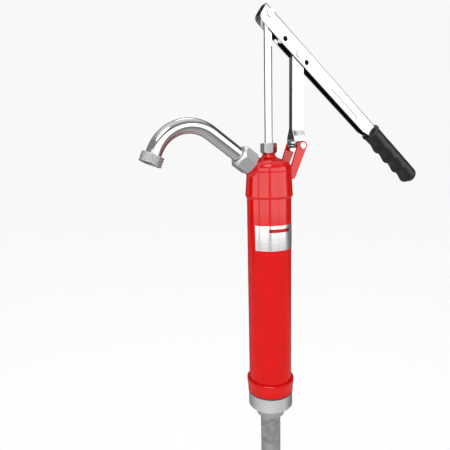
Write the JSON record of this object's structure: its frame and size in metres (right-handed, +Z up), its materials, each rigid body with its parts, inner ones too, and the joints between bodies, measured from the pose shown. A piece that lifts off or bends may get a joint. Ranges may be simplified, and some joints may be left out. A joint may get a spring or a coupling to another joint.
{
  "type": "fluid transfer pump",
  "caption": "Lever-action drum pump: red barrel with a bent metal spout, folded lever with a black grip, telescoping suction tube and bung thread.",
  "frame": {"origin": "on the barrel's axis, in the plane of the face that seats on the drum's bung", "axes": "+Z up along the barrel and rod, +X towards the lever, -X towards the spout"},
  "size_m": [0.4451, 0.0636, 0.844],
  "materials": {
    "red_paint": "gloss",
    "zinc_plate": "satin",
    "bright_steel": "bright",
    "chrome_plate": "polished",
    "cast_zinc": "cast",
    "galvanised": "galvanised",
    "brass": "machined",
    "black_rubber": "matt",
    "packing": "matt",
    "black_grip": "satin"
  },
  "bodies": {
    "pump": {"barrel": "red_paint", "base_collar": "red_paint", "bung_gasket": "black_rubber", "bung_bush": "cast_zinc", "foot_valve_seat": "brass", "foot_valve_cage": "cast_zinc", "upper_suction_tube": "galvanised", "upper_tube_ferrule": "galvanised", "head": "red_paint", "head_seal": "black_rubber", "rod_bush": "brass", "gland_packing": "packing", "gland_nut": "bright_steel", "spout_washer": "black_rubber", "spout_nut": "cast_zinc", "near_ear": "red_paint", "far_ear": "red_paint", "fulcrum_pin": "bright_steel", "fulcrum_washers": "bright_steel", "label_plate": "bright_steel"},
    "rod": {"piston_rod": "chrome_plate", "piston_body": "brass", "piston_cup": "packing", "cup_follower": "brass", "piston_nut": "bright_steel", "valve_stop": "bright_steel"},
    "lever": {"lever": "zinc_plate", "link_rivets": "bright_steel", "rod_pin": "bright_steel", "grip": "black_grip"},
    "link": {"link": "zinc_plate", "link_bush": "brass"},
    "spout": {"spout_tube": "chrome_plate", "outlet_fitting": "cast_zinc"},
    "middle_tube": {"middle_suction_tube": "galvanised", "middle_tube_bush": "packing", "middle_tube_ferrule": "galvanised"},
    "lower_tube": {"lower_suction_tube": "galvanised", "lower_tube_bush": "packing", "strainer": "cast_zinc"},
    "foot_valve": {"foot_valve_ball": "bright_steel"},
    "piston_valve": {"piston_valve_disc": "brass"}
  },
  "joints": [
    {"name": "rod_slide", "type": "slide", "parent": "pump", "child": "rod", "axis": [0, 0, -1], "range_m": [0, 0.0895]},
    {"name": "lever_swing", "type": "hinge", "parent": "rod", "child": "lever", "pos_m": [0, 0, 0.487], "axis": [0, -1, 0], "range_deg": [0, 94]},
    {"name": "link_swing", "type": "hinge", "parent": "pump", "child": "link", "pos_m": [0.044, 0, 0.331], "axis": [0, -1, 0], "range_deg": [0, 2.4]},
    {"name": "spout_swivel", "type": "hinge", "parent": "pump", "child": "spout", "pos_m": [0, 0, 0.2904], "axis": [-0.8192, 0, 0.5736], "continuous": true},
    {"name": "middle_tube_slide", "type": "slide", "parent": "pump", "child": "middle_tube", "axis": [0, 0, -1], "range_m": [0, 0.261]},
    {"name": "lower_tube_slide", "type": "slide", "parent": "middle_tube", "child": "lower_tube", "axis": [0, 0, -1], "range_m": [0, 0.267]},
    {"name": "foot_valve_lift", "type": "slide", "parent": "pump", "child": "foot_valve", "axis": [0, 0, 1], "range_m": [0, 0.0048]},
    {"name": "piston_valve_lift", "type": "slide", "parent": "rod", "child": "piston_valve", "axis": [0, 0, 1], "range_m": [0, 0.0028]}
  ],
  "couplings": [
    {"joint": "rod_slide", "follows": "lever_swing", "m_per_rad": 0.0545},
    {"joint": "link_swing", "follows": "lever_swing", "ratio": 0.0251}
  ]
}
